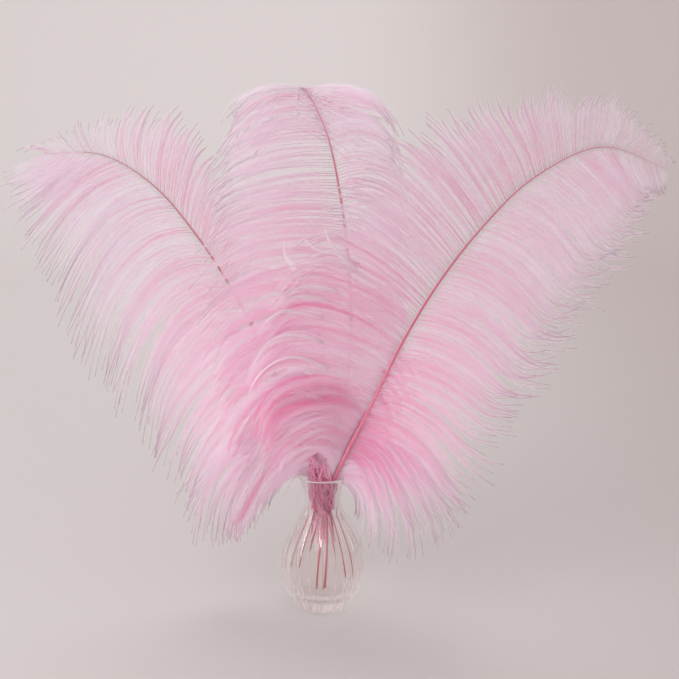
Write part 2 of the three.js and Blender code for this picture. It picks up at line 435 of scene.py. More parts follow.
def set_ramp(node, stops):
    """Gives a colour ramp its stops as (place, hex colour)."""
    ramp = node.color_ramp
    while len(ramp.elements) < len(stops):
        ramp.elements.new(0.5)
    for element, (place, colour) in zip(ramp.elements, stops):
        element.position = place
        element.color = (*linear(colour), 1)


def dyed_plume(settings, name, pale, translucency):
    """Dyed ostrich barbs: matt keratin fibres that let light through, so that a single layer looks
    pale and cool, and the folds, where light passes many barbs, turn a deep warm pink."""
    m = new_material(name)
    dye = add_node(m, "ShaderNodeAttribute", {"attribute_name": "dye"})
    along = add_node(m, "ShaderNodeAttribute", {"attribute_name": "along"})
    place = add_node(m, "ShaderNodeTexCoord")
    # Dye takes unevenly, in patches.
    patches = add_node(m, "ShaderNodeTexNoise", inputs={"Scale": 1 / DYE_PATCH, "Detail": 3},
                       links=[("Vector", place, "Object")])
    uneven = add_node(m, "ShaderNodeMath", {"operation": "MULTIPLY_ADD"},
                      {1: DYE_UNEVEN, 2: -DYE_UNEVEN / 2}, [(0, patches, "Fac")])
    depth = add_node(m, "ShaderNodeMath", {"operation": "ADD", "use_clamp": True},
                     links=[(0, dye, "Fac"), (1, uneven, 0)])
    body = add_node(m, "ShaderNodeMix", {"data_type": "RGBA"},
                    {6: (*pale, 1), 7: (*settings.deep_dye, 1)}, [(0, depth, 0)])
    # Painted shade: the last stretch of each barb's tube is painted darker and greyer, for the shaded sides
    # of the thin ends, but not on the soft barbs.
    shaded_end = add_node(m, "ShaderNodeMapRange", {"interpolation_type": "SMOOTHSTEP"},
                    {"From Min": SHADED_END_FROM, "From Max": 1.0, "To Min": 0.0, "To Max": SHADED_END_SHARE},
                    [("Value", along, "Fac")])
    spine = add_node(m, "ShaderNodeAttribute", {"attribute_name": "spine"})
    bare = add_node(m, "ShaderNodeMath", {"operation": "MULTIPLY"}, links=[(0, shaded_end, 0), (1, spine, "Fac")])
    colour = add_node(m, "ShaderNodeMix", {"data_type": "RGBA"}, {7: (*settings.shaded_end_colour, 1)},
                      [(0, bare, 0), (6, body, 2)])
    front = add_node(m, "ShaderNodeBsdfPrincipled",
                     inputs={"Roughness": 0.45, "Specular IOR Level": 0.5, "IOR": KERATIN_IOR},
                     links=[("Base Color", colour, 2)])
    behind = add_node(m, "ShaderNodeBsdfTranslucent", links=[("Color", colour, 2)])
    both = add_node(m, "ShaderNodeMixShader", inputs={0: translucency},
                    links=[(1, front, 0), (2, behind, 0)])
    add_node(m, "ShaderNodeOutputMaterial", links=[("Surface", both, 0)])
    return m


def dyed_quill():
    """Dyed quill: smooth horn-like keratin with a low gloss, coral where it is thick, with a dark
    groove along its face, and painted light in its edges: its sides are painted a lighter pink."""
    m = new_material("dyed_quill")
    up = add_node(m, "ShaderNodeAttribute", {"attribute_name": "up"})
    across = add_node(m, "ShaderNodeAttribute", {"attribute_name": "across"})
    edge = add_node(m, "ShaderNodeMath", {"operation": "ABSOLUTE"}, links=[(0, across, "Fac")])
    face = add_node(m, "ShaderNodeValToRGB", links=[("Fac", up, "Fac")])
    set_ramp(face, [(0.0, "#b5645f"), (0.22, "#d27890"), (0.45, "#b65c77"), (0.88, "#bd7f96"),
                    (1.0, "#dcbac9")])
    # Painted light: the shaft's sides are painted lighter and pinker, for light shining through its edges.
    painted_edge_light = add_node(m, "ShaderNodeValToRGB", links=[("Fac", up, "Fac")])
    set_ramp(painted_edge_light, [(0.0, "#c07874"), (0.22, "#f39cb2"), (0.6, "#e58aa8"), (0.9, "#d9aebd"),
                   (1.0, "#e4c8d3")])
    blend = add_node(m, "ShaderNodeMapRange", {"interpolation_type": "SMOOTHSTEP"},
                     {"From Min": 0.25, "From Max": 0.8}, [("Value", edge, 0)])
    plain = add_node(m, "ShaderNodeMix", {"data_type": "RGBA"},
                     links=[(0, blend, 0), (6, face, 0), (7, painted_edge_light, 0)])
    place = add_node(m, "ShaderNodeTexCoord")
    # Pale down lies felted on the shaft where the barbs close over it.
    felt = add_node(m, "ShaderNodeAttribute", {"attribute_name": "felt"})
    plain = add_node(m, "ShaderNodeMix", {"data_type": "RGBA"}, {7: (*linear("#ecc6d8"), 1)},
                     [(0, felt, "Fac"), (6, plain, 2)])
    # The horn is finely mottled.
    mottle = add_node(m, "ShaderNodeTexNoise", inputs={"Scale": 1 / QUILL_MOTTLE, "Detail": 4},
                      links=[("Vector", place, "Object")])
    tone = add_node(m, "ShaderNodeMapRange", inputs={"To Min": 0.86, "To Max": 1.08},
                    links=[("Value", mottle, "Fac")])
    colour = add_node(m, "ShaderNodeVectorMath", {"operation": "SCALE"},
                      links=[(0, plain, 2), ("Scale", tone, 0)])
    surface = add_node(m, "ShaderNodeBsdfPrincipled",
                       inputs={"Roughness": 0.38, "IOR": KERATIN_IOR, "Specular IOR Level": 0.5,
                               "Subsurface Weight": 0.25, "Subsurface Scale": 0.002,
                               "Subsurface Radius": (1.0, 0.35, 0.3)},
                       links=[("Base Color", colour, 0)])
    add_node(m, "ShaderNodeOutputMaterial", links=[("Surface", surface, 0)])
    return m


def pressed_glass(settings):
    """Clear soda-lime glass, pressed in a fluted mould and fire polished: bright and smooth, with
    a faint waviness that makes its reflections swim."""
    m = new_material("pressed_glass")
    place = add_node(m, "ShaderNodeTexCoord")
    waves = add_node(m, "ShaderNodeTexNoise", inputs={"Scale": 1 / GLASS_WAVE, "Detail": 1},
                     links=[("Vector", place, "Object")])
    relief = add_node(m, "ShaderNodeBump", inputs={"Strength": 0.5, "Distance": GLASS_WAVE_DEPTH},
                      links=[("Height", waves, "Fac")])
    # The faint pink tint carries painted pink light for the plumes seen through the glass.
    surface = add_node(m, "ShaderNodeBsdfPrincipled",
                       inputs={"Base Color": (*settings.glass_tint_and_pink_cast, 1), "Roughness": 0.0,
                               "IOR": settings.glass_ior, "Transmission Weight": 1.0},
                       links=[("Normal", relief, 0)])
    add_node(m, "ShaderNodeOutputMaterial", links=[("Surface", surface, 0)])
    return m


def seamless_paper(settings):
    """Pale matt background paper with a soft grain, and painted shade: darker on the floor in front and
    duller at its right.
    """
    m = new_material("seamless_paper")
    place = add_node(m, "ShaderNodeTexCoord")
    grain = add_node(m, "ShaderNodeTexNoise", inputs={"Scale": 1 / PAPER_GRAIN, "Detail": 2},
                     links=[("Vector", place, "Object")])
    tone = add_node(m, "ShaderNodeMapRange", inputs={"To Min": 0.985, "To Max": 1.0},
                    links=[("Value", grain, "Fac")])
    # Painted shade: the sheet is painted lighter towards the wall than on the floor in front, and duller
    # and darker at its right, where the light falls off.
    split = add_node(m, "ShaderNodeSeparateXYZ", links=[("Vector", place, "Object")])
    back = add_node(m, "ShaderNodeMapRange", {"interpolation_type": "SMOOTHSTEP"},
                    {"From Min": FLOOR_SHADE_FADE[0], "From Max": FLOOR_SHADE_FADE[1],
                     "To Min": settings.floor_shade, "To Max": 1.0}, [("Value", split, "Y")])
    both = add_node(m, "ShaderNodeMath", {"operation": "MULTIPLY"},
                    links=[(0, tone, 0), (1, back, 0)])
    aside = add_node(m, "ShaderNodeMapRange", {"interpolation_type": "SMOOTHSTEP"},
                     {"From Min": SIDE_SHADE_FADE[0], "From Max": SIDE_SHADE_FADE[1]}, [("Value", split, "X")])
    sheet = add_node(m, "ShaderNodeMix", {"data_type": "RGBA"},
                     {6: (*settings.paper, 1), 7: (*settings.paper_shaded_right, 1)}, [(0, aside, 0)])
    colour = add_node(m, "ShaderNodeVectorMath", {"operation": "SCALE"},
                      links=[(0, sheet, 2), ("Scale", both, 0)])
    surface = add_node(m, "ShaderNodeBsdfPrincipled",
                       inputs={"Roughness": 0.9, "Specular IOR Level": 0.2},
                       links=[("Base Color", colour, 0)])
    add_node(m, "ShaderNodeOutputMaterial", links=[("Surface", surface, 0)])
    return m


# ---- Vase ----
def radius_at(profile, height):
    """A profile's radius at each height."""
    radii, heights = zip(*profile)
    return np.interp(height, heights, radii)


def flute_sink(radius_now, angle, height, depth):
    """How far the outside is pressed in. Each flute is a hollow between two ridges, and ends under
    the neck in a pointed arch."""
    phase = (angle * FLUTES / (2 * math.pi)) % 1
    top = FLUTES_TOP - ARCH_HEIGHT * np.abs(2 * phase - 1)
    rise = smoothstep(FLUTES_BOTTOM, FLUTES_BOTTOM + FLUTES_RISE, height)
    end = smoothstep(0, FLUTES_FADE, top - height)
    width = radius_now / max(radius for radius, _ in VASE_OUTSIDE)
    return depth * np.sqrt(width) * rise * end * np.sin(math.pi * phase)


def make_vase(settings):
    """Draws the wall up ring by ring, over the lip and down the inside, then presses the flutes."""
    sides = FLUTES * SIDES_PER_FLUTE
    radius, height = VASE_OUTSIDE[0]
    deselect_all()
    bpy.ops.mesh.primitive_circle_add(vertices=sides, radius=radius * MM, fill_type="NGON")
    vase = bpy.context.active_object
    vase.name = vase.data.name = "bud_vase"
    bpy.ops.object.mode_set(mode="EDIT")
    bpy.ops.mesh.select_all(action="SELECT")
    rings = VASE_OUTSIDE[1:] + [(LIP_RADIUS, VASE_HEIGHT)] + VASE_INSIDE[::-1]
    for next_radius, next_height in rings:
        rise = (next_height - height) * MM
        bpy.ops.mesh.extrude_region_move(TRANSFORM_OT_translate={"value": (0, 0, rise)})
        grow = next_radius / radius
        bpy.ops.transform.resize(value=(grow, grow, 1), center_override=(0, 0, next_height * MM))
        radius, height = next_radius, next_height
    bpy.ops.mesh.select_all(action="SELECT")
    bpy.ops.mesh.normals_make_consistent(inside=False)
    bpy.ops.object.mode_set(mode="OBJECT")
    smooth = vase.modifiers.new("smooth", "SUBSURF")
    smooth.levels = smooth.render_levels = SUBDIVISIONS
    bpy.ops.object.modifier_apply(modifier=smooth.name)
    press_flutes(vase.data, settings.flute_depth / MM)
    bpy.ops.object.shade_smooth()
    vase.data.materials.append(pressed_glass(settings))
    vase.visible_shadow = False   # clear glass lets nearly all the light through
    return vase


def press_flutes(mesh, depth):
    """Presses the flutes into the outside of the vase's wall, which keeps its inside round."""
    points = read_points(mesh)
    height = points[:, 2]
    radius = np.hypot(points[:, 0], points[:, 1])
    outer = radius_at(VASE_OUTSIDE, height)
    inner = radius_at(VASE_INSIDE, height)
    outside = (np.abs(radius - outer) < np.abs(radius - inner)) & (radius > 1)
    sink = flute_sink(radius, np.arctan2(points[:, 0], points[:, 1]), height, depth)
    sink = np.where(outside, sink, 0)
    points[:, :2] *= (1 - sink / np.maximum(radius, 1))[:, None]
    write_points(mesh, points)


# ---- Shafts ----
def shaft_radius(plume, place):
    """The shaft's radius at each place along it."""
    thinning = np.asarray(place) ** SHAFT_TAPER
    return plume["quill_radius"] + (SHAFT_TIP_RADIUS - plume["quill_radius"]) * thinning


def clothed(plume, place):
    """How far down hides the shaft at each place along it."""
    first, last = plume["bare"]
    start, end = BARE_EDGES
    below = smoothstep(first + start, first - start, place)
    above = smoothstep(last - end, last + end, place)
    return np.maximum(below, above)


def make_shaft(name, plume, material):
    """Bends a tapered rod along the plume, cuts its quill end on a slant and hollows it, then
    presses the groove along its face."""
    places = np.linspace(0, 1, SHAFT_STEPS + 1)
    centres = through(plume["shaft"], places)
    deselect_all()
    bpy.ops.curve.primitive_nurbs_path_add()
    shaft = bpy.context.active_object
    route = shaft.data
    route.splines.clear()
    line = route.splines.new("POLY")
    line.points.add(len(centres) - 1)
    for point, centre, radius in zip(line.points, centres, shaft_radius(plume, places)):
        point.co = (*(centre * MM), 1)
        point.radius = radius / plume["quill_radius"]
    route.dimensions = "3D"
    route.bevel_depth = plume["quill_radius"] * MM
    route.bevel_resolution = 6
    route.use_fill_caps = True
    bpy.ops.object.convert(target="MESH")
    shaft = bpy.context.active_object
    shaft.name = shaft.data.name = name
    cut_quill(plume)
    groove_and_mark(shaft.data, plume, centres, places)
    bpy.ops.object.shade_smooth_by_angle(angle=math.radians(40))
    shaft.data.materials.append(material)
    return shaft


def cut_quill(plume):
    """Cuts the quill's end on a slant and opens the hollow in it."""
    start = through(plume["shaft"], 0.0)
    along = heading(plume["shaft"], 0.0)
    side = unit(np.cross(along, (0, 1, 0)))
    slant = math.radians(QUILL_CUT_ANGLE)
    normal = along * math.sin(slant) + side * math.cos(slant)
    reach = plume["quill_radius"] / math.tan(slant)
    bpy.ops.object.mode_set(mode="EDIT")
    bpy.ops.mesh.select_all(action="SELECT")
    bpy.ops.mesh.remove_doubles(threshold=1e-6)
    bpy.ops.mesh.bisect(plane_co=tuple((start + along * reach) * MM), plane_no=tuple(normal),
                        use_fill=True, clear_inner=True)
    bpy.ops.mesh.select_mode(type="FACE")
    bpy.ops.mesh.inset(thickness=QUILL_WALL * MM)
    bpy.ops.mesh.extrude_region_move(
        TRANSFORM_OT_translate={"value": tuple(along * QUILL_HOLLOW * MM)})
    bpy.ops.mesh.select_mode(type="VERT")
    bpy.ops.mesh.select_all(action="SELECT")
    bpy.ops.mesh.normals_make_consistent(inside=False)
    bpy.ops.object.mode_set(mode="OBJECT")


def groove_and_mark(mesh, plume, centres, places):
    """Presses the groove along the front of the shaft, and notes how far up and how far across it
    each point lies, and whether down is felted onto it there."""
    points = read_points(mesh)
    nearest = np.linalg.norm(points[:, None] - centres[None], axis=2).argmin(axis=1)
    up = places[nearest]
    along = heading(plume["shaft"], up)
    front = unit(np.array([0, -1.0, 0]) + along * along[:, 1:2])
    side = np.cross(along, front)
    out = points - centres[nearest]
    out -= along * (out * along).sum(1)[:, None]
    radius = shaft_radius(plume, up)
    across = (out * side).sum(1) / radius
    facing = (out * front).sum(1) / radius
    depth = GROOVE_DEPTH * radius * smoothstep(*GROOVE_SPAN, up)
    press = depth * smoothstep(GROOVE_WIDTH, 0, np.abs(across)) * (facing > 0.5)
    write_points(mesh, points - front * press[:, None])
    felt = clothed(plume, up) * smoothstep(VANE_SPAN[0], VANE_SPAN[0] + FELT_RISE, up)
    add_values(mesh, up=up, across=across, felt=felt)


# ---- Barbs ----
def spread(values, up):
    """Values spread evenly over a vane, at each height up it."""
    return np.interp(up, np.linspace(0, 1, len(values)), values)


def gather(paths, size, strength, start, random):
    """Draws neighbouring barbs together into locks from a given share of their length outwards."""
    count = len(paths)
    starts = [0]
    while starts[-1] < count:
        starts.append(starts[-1] + int(random.integers(size[0], size[1] + 1)))
    starts = np.array(starts[:-1])
    sizes = np.diff(np.append(starts, count))
    means = np.add.reduceat(paths, starts, axis=0) / sizes[:, None, None]
    lock = np.repeat(np.arange(len(starts)), sizes)
    pull = strength * smoothstep(start, 1, RING_SHARES)[None, :, None]
    return paths * (1 - pull) + means[lock] * pull, lock


def per_lock(size, lock, random):
    """A random value for each lock, as each of its barbs gets it."""
    return random.normal(0, size, lock.max() + 1)[lock]


def curl_and_waver(paths, normal, curl, random):
    """Turns each barb's end within the vane, and lets all of it waver a little."""
    count = len(paths)
    steps = np.diff(paths, axis=1)
    middle = (RING_SHARES[1:] + RING_SHARES[:-1]) / 2
    start = random.uniform(0, 2 * math.pi, (count, 1))
    waves = random.uniform(*WAVES, (count, 1))
    waver = np.radians(WAVER) * np.sin(start + 2 * math.pi * waves * middle)
    turn = np.radians(curl)[:, None] * smoothstep(CURL_FROM, 1, middle)
    turn = turn + waver * smoothstep(0, 0.4, middle)
    axis = normal[:, None]
    cos, sin = np.cos(turn)[..., None], np.sin(turn)[..., None]
    off_plane = axis * (axis * steps).sum(2, keepdims=True)
    steps = steps * cos + np.cross(axis, steps) * sin + off_plane * (1 - cos)
    root = paths[:, :1]
    return np.concatenate([root, root + np.cumsum(steps, axis=1)], axis=1)


def barb_paths(plume, vane, random):
    """Every barb of one side of a plume as points from root to end, as [barb, step, xyz]."""
    count = vane["barbs"]
    up = (np.arange(count) + random.uniform(*PLACE_VARIES, count)) / count
    first, last = vane.get("span", VANE_SPAN)
    place = first + up * (last - first)
    centre = through(plume["shaft"], place)
    along = heading(plume["shaft"], place)
    to_tip = through(vane["tips"], up ** vane["lead"]) - centre
    to_tip *= (1 + random.normal(0, LENGTH_VARIES, count))[:, None]
    length = np.linalg.norm(to_tip, axis=1)[:, None]
    to_tip += along * length * random.normal(0, SWEEP_VARIES, (count, 1))
    aside = unit(to_tip - along * (to_tip * along).sum(1)[:, None])
    leave = np.radians(spread(vane["leave"], up) + random.normal(0, LEAVE_VARIES, count))[:, None]
    front = unit(np.cross((1, 0, 0), along))
    hidden = clothed(plume, place)[:, None]
    start = aside * (ROOT_ASIDE - HIDDEN_ACROSS * hidden) + front * HIDDEN_IN_FRONT * hidden
    root = centre + start * shaft_radius(plume, place)[:, None]
    reach = spread(vane["reach"], up)[:, None]
    knee = root + (along * np.cos(leave) + aside * np.sin(leave)) * reach * length
    knee += front * length * spread(vane["arch"], up)[:, None]
    tip = root + to_tip
    s = RING_SHARES[None, :, None]
    paths = root[:, None] * (1 - s) ** 2 + knee[:, None] * 2 * s * (1 - s) + tip[:, None] * s ** 2
    normal = unit(np.cross(aside, along))
    curl = spread(vane["curl"], up) * random.uniform(*CURL_VARIES, count)
    curl += random.normal(0, CURL_STRAYS, count)
    return curl_and_waver(paths, normal, curl, random), normal, along, up


def settle(paths, normal, along, up, vane, settings, random):
    """Lets each barb hang and stand a little before or behind its neighbours, and draws them into
    locks. Also says how soft each barb is and how much deeper or paler it is dyed than most."""
    count = len(paths)
    share = RING_SHARES
    paths[:, :, 2] -= vane["droop"] * random.uniform(*DROOP_VARIES, (count, 1)) * share ** 3
    loft = settings.loft / MM * vane["loft"]
    stand = random.normal(0, loft, count)
    paths += normal[:, None] * (stand[:, None] * share ** 1.5)[..., None]
    soft = vane.get("soft", 0) * smoothstep(*SOFT_UP_TO, up)
    stray = 1 + UNRULY * soft
    strength = spread(vane["gather"], up)[:, None, None]
    paths, small = gather(paths, SMALL_LOCK, strength, SMALL_FROM, random)
    strength = strength * (LARGE_PULL + SOFT_PULL * soft[:, None, None])
    paths, large = gather(paths, LARGE_LOCK, strength, LARGE_FROM, random)
    lift = per_lock(loft * LOCK_LIFT, large, random) * stray
    swing = per_lock(LARGE_SWING, large, random) + per_lock(SMALL_SWING, small, random)
    swing *= stray
    paths += normal[:, None] * (lift[:, None] * share ** 1.5)[..., None]
    paths += along[:, None] * (swing[:, None] * share ** 2)[..., None]
    tone = per_lock(SMALL_TONE, small, random) + random.normal(0, BARB_TONE, count)
    tone += per_lock(LARGE_TONE, large, random)
    return paths, soft, tone * stray


def tuft_paths(route, random):
    """A few barbs side by side along one loose tuft's route, closing up towards its end."""
    cuts = random.uniform(*TUFT_CUTS, TUFT_BARBS)
    lines = np.stack([through(route, RING_SHARES * cut) for cut in cuts])
    drift = random.normal(0, TUFT_SPREAD, (TUFT_BARBS, 1, 3)) * (1.1 - RING_SHARES)[None, :, None]
    along = unit(lines[0, -1] - lines[0, 0])
    normal = np.tile(unit(np.cross(along, (1.0, 0, 0.2))), (TUFT_BARBS, 1))
    return lines + drift, normal


def tucked_paths(random):
    """Strands of down that run from the vase's mouth down its neck beside the quills."""
    count = TUCKED_STRANDS
    turn = random.uniform(0, 2 * math.pi, (count, 1))
    turn = turn + random.normal(0, TUCKED_TURN, (count, 4)).cumsum(axis=1)
    top = random.uniform(*TUCKED_TOP, (count, 1))
    bottom = random.uniform(*TUCKED_BOTTOM, (count, 1))
    height = top + (bottom - top) * np.array([0, 0.33, 0.67, 1])
    room = np.minimum(radius_at(VASE_INSIDE, height) - TUCKED_GAP, TUCKED_RADIUS)
    room = room * np.interp(height, *TUCKED_FILL)
    radius = room * np.sqrt(random.uniform(0.02, 1, (count, 4)))
    points = np.stack([radius * np.cos(turn), radius * np.sin(turn), height], axis=2)
    paths = np.stack([through(route, RING_SHARES) for route in points])
    along = unit(paths[:, -1] - paths[:, 0])
    return paths, unit(np.cross(along, (0.3, 1.0, 0.0)))


def barb_tubes(paths, width):
    """A three-sided tapering tube round each path: its points and triangles, and each point's barb,
    share of the barb's length, and place across the barb's strip in the map."""
    count, rings = paths.shape[:2]
    share = RING_SHARES
    tangent = unit(np.gradient(paths, axis=1))
    up_axis = unit(np.cross(tangent, np.array([0.3, 1.0, 0.2])))
    out_axis = np.cross(tangent, up_axis)
    radius = 0.5 * width * (1 - BARB_TAPER * share)[None, :, None]
    corners = []
    for k in range(BARB_SIDES):
        angle = 2 * math.pi * k / BARB_SIDES
        corners.append(paths + radius * (up_axis * math.cos(angle) + out_axis * math.sin(angle)))
    points = np.stack(corners, axis=2)
    index = np.arange(count * rings * BARB_SIDES).reshape(count, rings, BARB_SIDES)
    triangles = []
    for k in range(BARB_SIDES):
        a, b = index[:, :-1, k], index[:, :-1, (k + 1) % BARB_SIDES]
        c, d = index[:, 1:, (k + 1) % BARB_SIDES], index[:, 1:, k]
        triangles += [np.stack([a, b, c], -1).reshape(-1, 3), np.stack([a, c, d], -1).reshape(-1, 3)]
    triangles.append(index[:, 0, ::-1])
    triangles.append(index[:, -1, :])
    barb = np.broadcast_to(np.arange(count)[:, None, None], index.shape).ravel()
    shares = np.broadcast_to(share[None, :, None], index.shape).ravel()
    sideways = np.broadcast_to(TUBE_LANE * np.arange(BARB_SIDES) / BARB_SIDES, index.shape).ravel()
    return points.reshape(-1, 3), np.concatenate(triangles), barb, shares, sideways


def barbules(paths, normal, settings, fluff, soft, random):
    """The fine slivers along both sides of every barb, as barb_tubes gives its tubes."""
    rings = paths.shape[1]
    lengths = np.linalg.norm(np.diff(paths, axis=1), axis=2).sum(1)
    spacing = settings.barbule_spacing / MM * 1
    per_barb = (lengths / spacing).astype(int)
    barb = np.repeat(np.arange(len(paths)), per_barb)
    share = random.uniform(0.01, 1, len(barb)) ** 0.9
    at = np.interp(share, RING_SHARES, np.arange(rings))
    low = np.minimum(at.astype(int), rings - 2)
    here, there = paths[barb, low], paths[barb, low + 1]
    base = here + (there - here) * (at - low)[:, None]
    tangent = unit(there - here)
    flat = unit(np.cross(normal[barb], tangent))
    side = np.where(random.random(len(barb)) < 0.5, -1.0, 1.0)
    leave = random.uniform(*BARBULE_SPREAD, len(barb)) * np.interp(share, (0, 0.3), (1.2, 1))
    leave = np.radians(leave)[:, None]
    tilt = np.radians(random.normal(0, BARBULE_TILT, len(barb)))[:, None]
    aside = flat * side[:, None] * np.cos(tilt) + normal[barb] * np.sin(tilt)
    direction = tangent * np.cos(leave) + aside * np.sin(leave)
    size = np.interp(share, *BARBULE_SIZES) * (1 - soft[barb])
    size += np.interp(share, *SOFT_SIZES) * soft[barb]
    size *= np.minimum(1, lengths[barb] / SHORT_BARB) * fluff
    reach = settings.barbule_length / MM * size * random.uniform(*BARBULE_VARIES, len(barb))
    tip = base + direction * reach[:, None]
    half = 0.5 * settings.barbule_width / MM * tangent
    points = np.stack([base - half, base + half, tip], axis=1).reshape(-1, 3)
    triangles = np.arange(len(points)).reshape(-1, 3)
    sliver = np.repeat(barb, 3)
    ahead = share + (reach * np.cos(leave[:, 0])) / lengths[barb]
    step = 0.5 * settings.barbule_width / MM / lengths[barb]
    shares = np.stack([share - step, share + step, ahead], 1).ravel()
    lane = np.full(len(barb), 0.5 + 0.5 * TUBE_LANE)
    sideways = np.stack([lane, lane, lane + 0.45 * (1 - TUBE_LANE) * side], 1).ravel()
    return points, triangles, sliver, np.clip(shares, 0, 1), sideways


def make_fibres(name, paths, normal, dye_of_barb, soft, settings, material, random,
                thickness=1.0, fluff=1.0):
    """One mesh of the barbs and their barbules, with how deeply each point is dyed, how far along
    its barb it lies, which points take the painted shade at the barb ends, and a map laid out as
    barbs by length."""
    tubes = barb_tubes(paths, settings.barb_width / MM * thickness)
    slivers = barbules(paths, normal, settings, fluff, soft, random)
    points = np.concatenate([tubes[0], slivers[0]])
    triangles = np.concatenate([tubes[1], slivers[1] + len(tubes[0])]).astype(np.int32)
    barb, share, sideways = (np.concatenate(pair) for pair in zip(tubes[2:], slivers[2:]))
    mesh = bpy.data.meshes.new(name)
    mesh.vertices.add(len(points))
    mesh.vertices.foreach_set("co", (points * MM).astype(np.float32).ravel())
    mesh.loops.add(triangles.size)
    mesh.loops.foreach_set("vertex_index", triangles.ravel())
    mesh.polygons.add(len(triangles))
    mesh.polygons.foreach_set("loop_start", np.arange(0, triangles.size, 3, dtype=np.int32))
    mesh.update(calc_edges=True)
    bake = mesh.uv_layers.new(name="OFBake")
    uv = np.stack([(barb + sideways) / len(paths), share], 1)[triangles.ravel()]
    bake.data.foreach_set("uv", uv.astype(np.float32).ravel())
    spine = (np.arange(len(points)) < len(tubes[0])).astype(float)
    plain = np.where(spine > 0, np.interp(share, *BARB_DYE), np.interp(share, *BARBULE_DYE))
    downy = np.interp(share, *SOFT_DYE)
    dye = dye_of_barb[barb] * (plain + (downy - plain) * soft[barb])
    add_values(mesh, dye=dye, along=share, spine=spine * (1 - soft[barb]))
    mesh.materials.append(material)
    fibres = bpy.data.objects.new(name, mesh)
    bpy.context.scene.collection.objects.link(fibres)
    return fibres


def make_vane(name, plume, vane, settings, material, seed):
    random = np.random.default_rng(seed)
    paths, normal, along, up = barb_paths(plume, vane, random)
    paths, soft, tone = settle(paths, normal, along, up, vane, settings, random)
    first, last = vane.get("span", VANE_SPAN)
    foot = smoothstep(*FOOT_SPAN, first + up * (last - first))
    dye = np.clip(LEAST_DYE + spread(vane["dye"], up) + tone + FOOT_DYE_AND_SHADE * foot, 0, 1)
    return make_fibres(name, paths, normal, dye, soft, settings, material, random)


def make_tufts(name, settings, material, seed):
    random = np.random.default_rng(seed)
    tufts = [tuft_paths(route, random) for route in LOOSE_TUFTS]
    paths, normal = (np.concatenate(part) for part in zip(*tufts))
    dye = np.clip(random.normal(*TUFT_DYE, len(paths)), 0, 1)
    return make_fibres(name, paths, normal, dye, np.ones(len(paths)), settings, material, random,
                       TUFT_THICKNESS, TUFT_FLUFF)


def make_tucked_down(name, settings, material, seed):
    random = np.random.default_rng(seed)
    paths, normal = tucked_paths(random)
    dye = np.clip(random.normal(*TUCKED_DYE, len(paths)), 0, TUCKED_DEEPEST)
    return make_fibres(name, paths, normal, dye, np.ones(len(paths)), settings, material, random,
                       TUCKED_THICKNESS, TUCKED_FLUFF)


# ---- Stage ----
def aim(light, target):
    """Turns a light to face a point."""
    x, y, z = np.array(target) - np.array(light.location)
    light.rotation_euler = (math.atan2(math.hypot(x, y), -z), 0, math.atan2(-x, y))


def soft_light(name, place, size, target, power):
    deselect_all()
    bpy.ops.object.light_add(type="AREA", location=place)
    light = bpy.context.active_object
    light.name = name
    light.data.shape = "RECTANGLE"
    light.data.size, light.data.size_y = size
    light.data.energy = power
    light.visible_transmission = False   # the vase casts no shadow, so it gathers no light either
    aim(light, target)
    return light


def make_lights(settings):
    for name, (place, size, target) in LIGHTS.items():
        power = getattr(settings, f"{name}_power")
        light = soft_light(f"{name}_light", place, size, target, power)
        if name == "front":
            # It is narrow and close, and the glass isn't to mirror it.
            light.data.spread = math.radians(FRONT_SPREAD)
            light.visible_glossy = False


def make_camera():
    deselect_all()
    tilt = math.radians(90 - CAMERA_DOWN)
    bpy.ops.object.camera_add(location=CAMERA_PLACE, rotation=(tilt, 0, 0))
    camera = bpy.context.active_object
    camera.name = "camera"
    camera.data.sensor_width = SENSOR
    camera.data.lens = SENSOR * FOCAL_PIXELS / IMAGE_PIXELS
    bpy.context.scene.camera = camera


def make_paper(settings):
    """Lays the sheet on the floor, pulls its back edge up and rounds the bend."""
    deselect_all()
    bpy.ops.mesh.primitive_plane_add(size=1, location=(0, (PAPER_BACK + PAPER_FRONT) / 2, 0))
    paper = bpy.context.active_object
    paper.name = "paper"
    paper.scale = (2 * PAPER_HALF_WIDTH, PAPER_BACK - PAPER_FRONT, 1)
    bpy.ops.object.transform_apply(location=True, rotation=True, scale=True)
    mesh = paper.data
    at_back = [math.isclose(vertex.co.y, PAPER_BACK, abs_tol=MM) for vertex in mesh.vertices]
    mesh.vertices.foreach_set("select", at_back)
    for edge in mesh.edges:
        edge.select = all(at_back[v] for v in edge.vertices)
    for face in mesh.polygons:
        face.select = False
    bpy.ops.object.mode_set(mode="EDIT")
    bpy.ops.mesh.select_mode(type="EDGE")
    bpy.ops.mesh.extrude_region_move(TRANSFORM_OT_translate={"value": (0, 0, PAPER_HEIGHT)})
    bpy.ops.object.mode_set(mode="OBJECT")
    bend = paper.modifiers.new("bend", "BEVEL")
    bend.width = PAPER_BEND
    bend.segments = PAPER_BEND_STEPS
    bend.limit_method = "ANGLE"
    bpy.ops.object.modifier_apply(modifier=bend.name)
    bpy.ops.object.shade_smooth()
    paper.data.materials.append(seamless_paper(settings))
    return paper


def make_room(scene, settings):
    """A pale room all round, and enough bounces for the glass."""
    world = bpy.data.worlds.new("pale_room")
    world.use_nodes = True
    background = world.node_tree.nodes["Background"]
    background.inputs["Color"].default_value = (*linear("#f3eeee"), 1)
    background.inputs["Strength"].default_value = settings.surround
    scene.world = world
    scene.view_settings.view_transform = "Standard"
    scene.cycles.max_bounces = GLASS_BOUNCES
    scene.cycles.glossy_bounces = GLASS_BOUNCES
    scene.cycles.transmission_bounces = GLASS_BOUNCES
    scene.cycles.diffuse_bounces = SOFT_BOUNCES


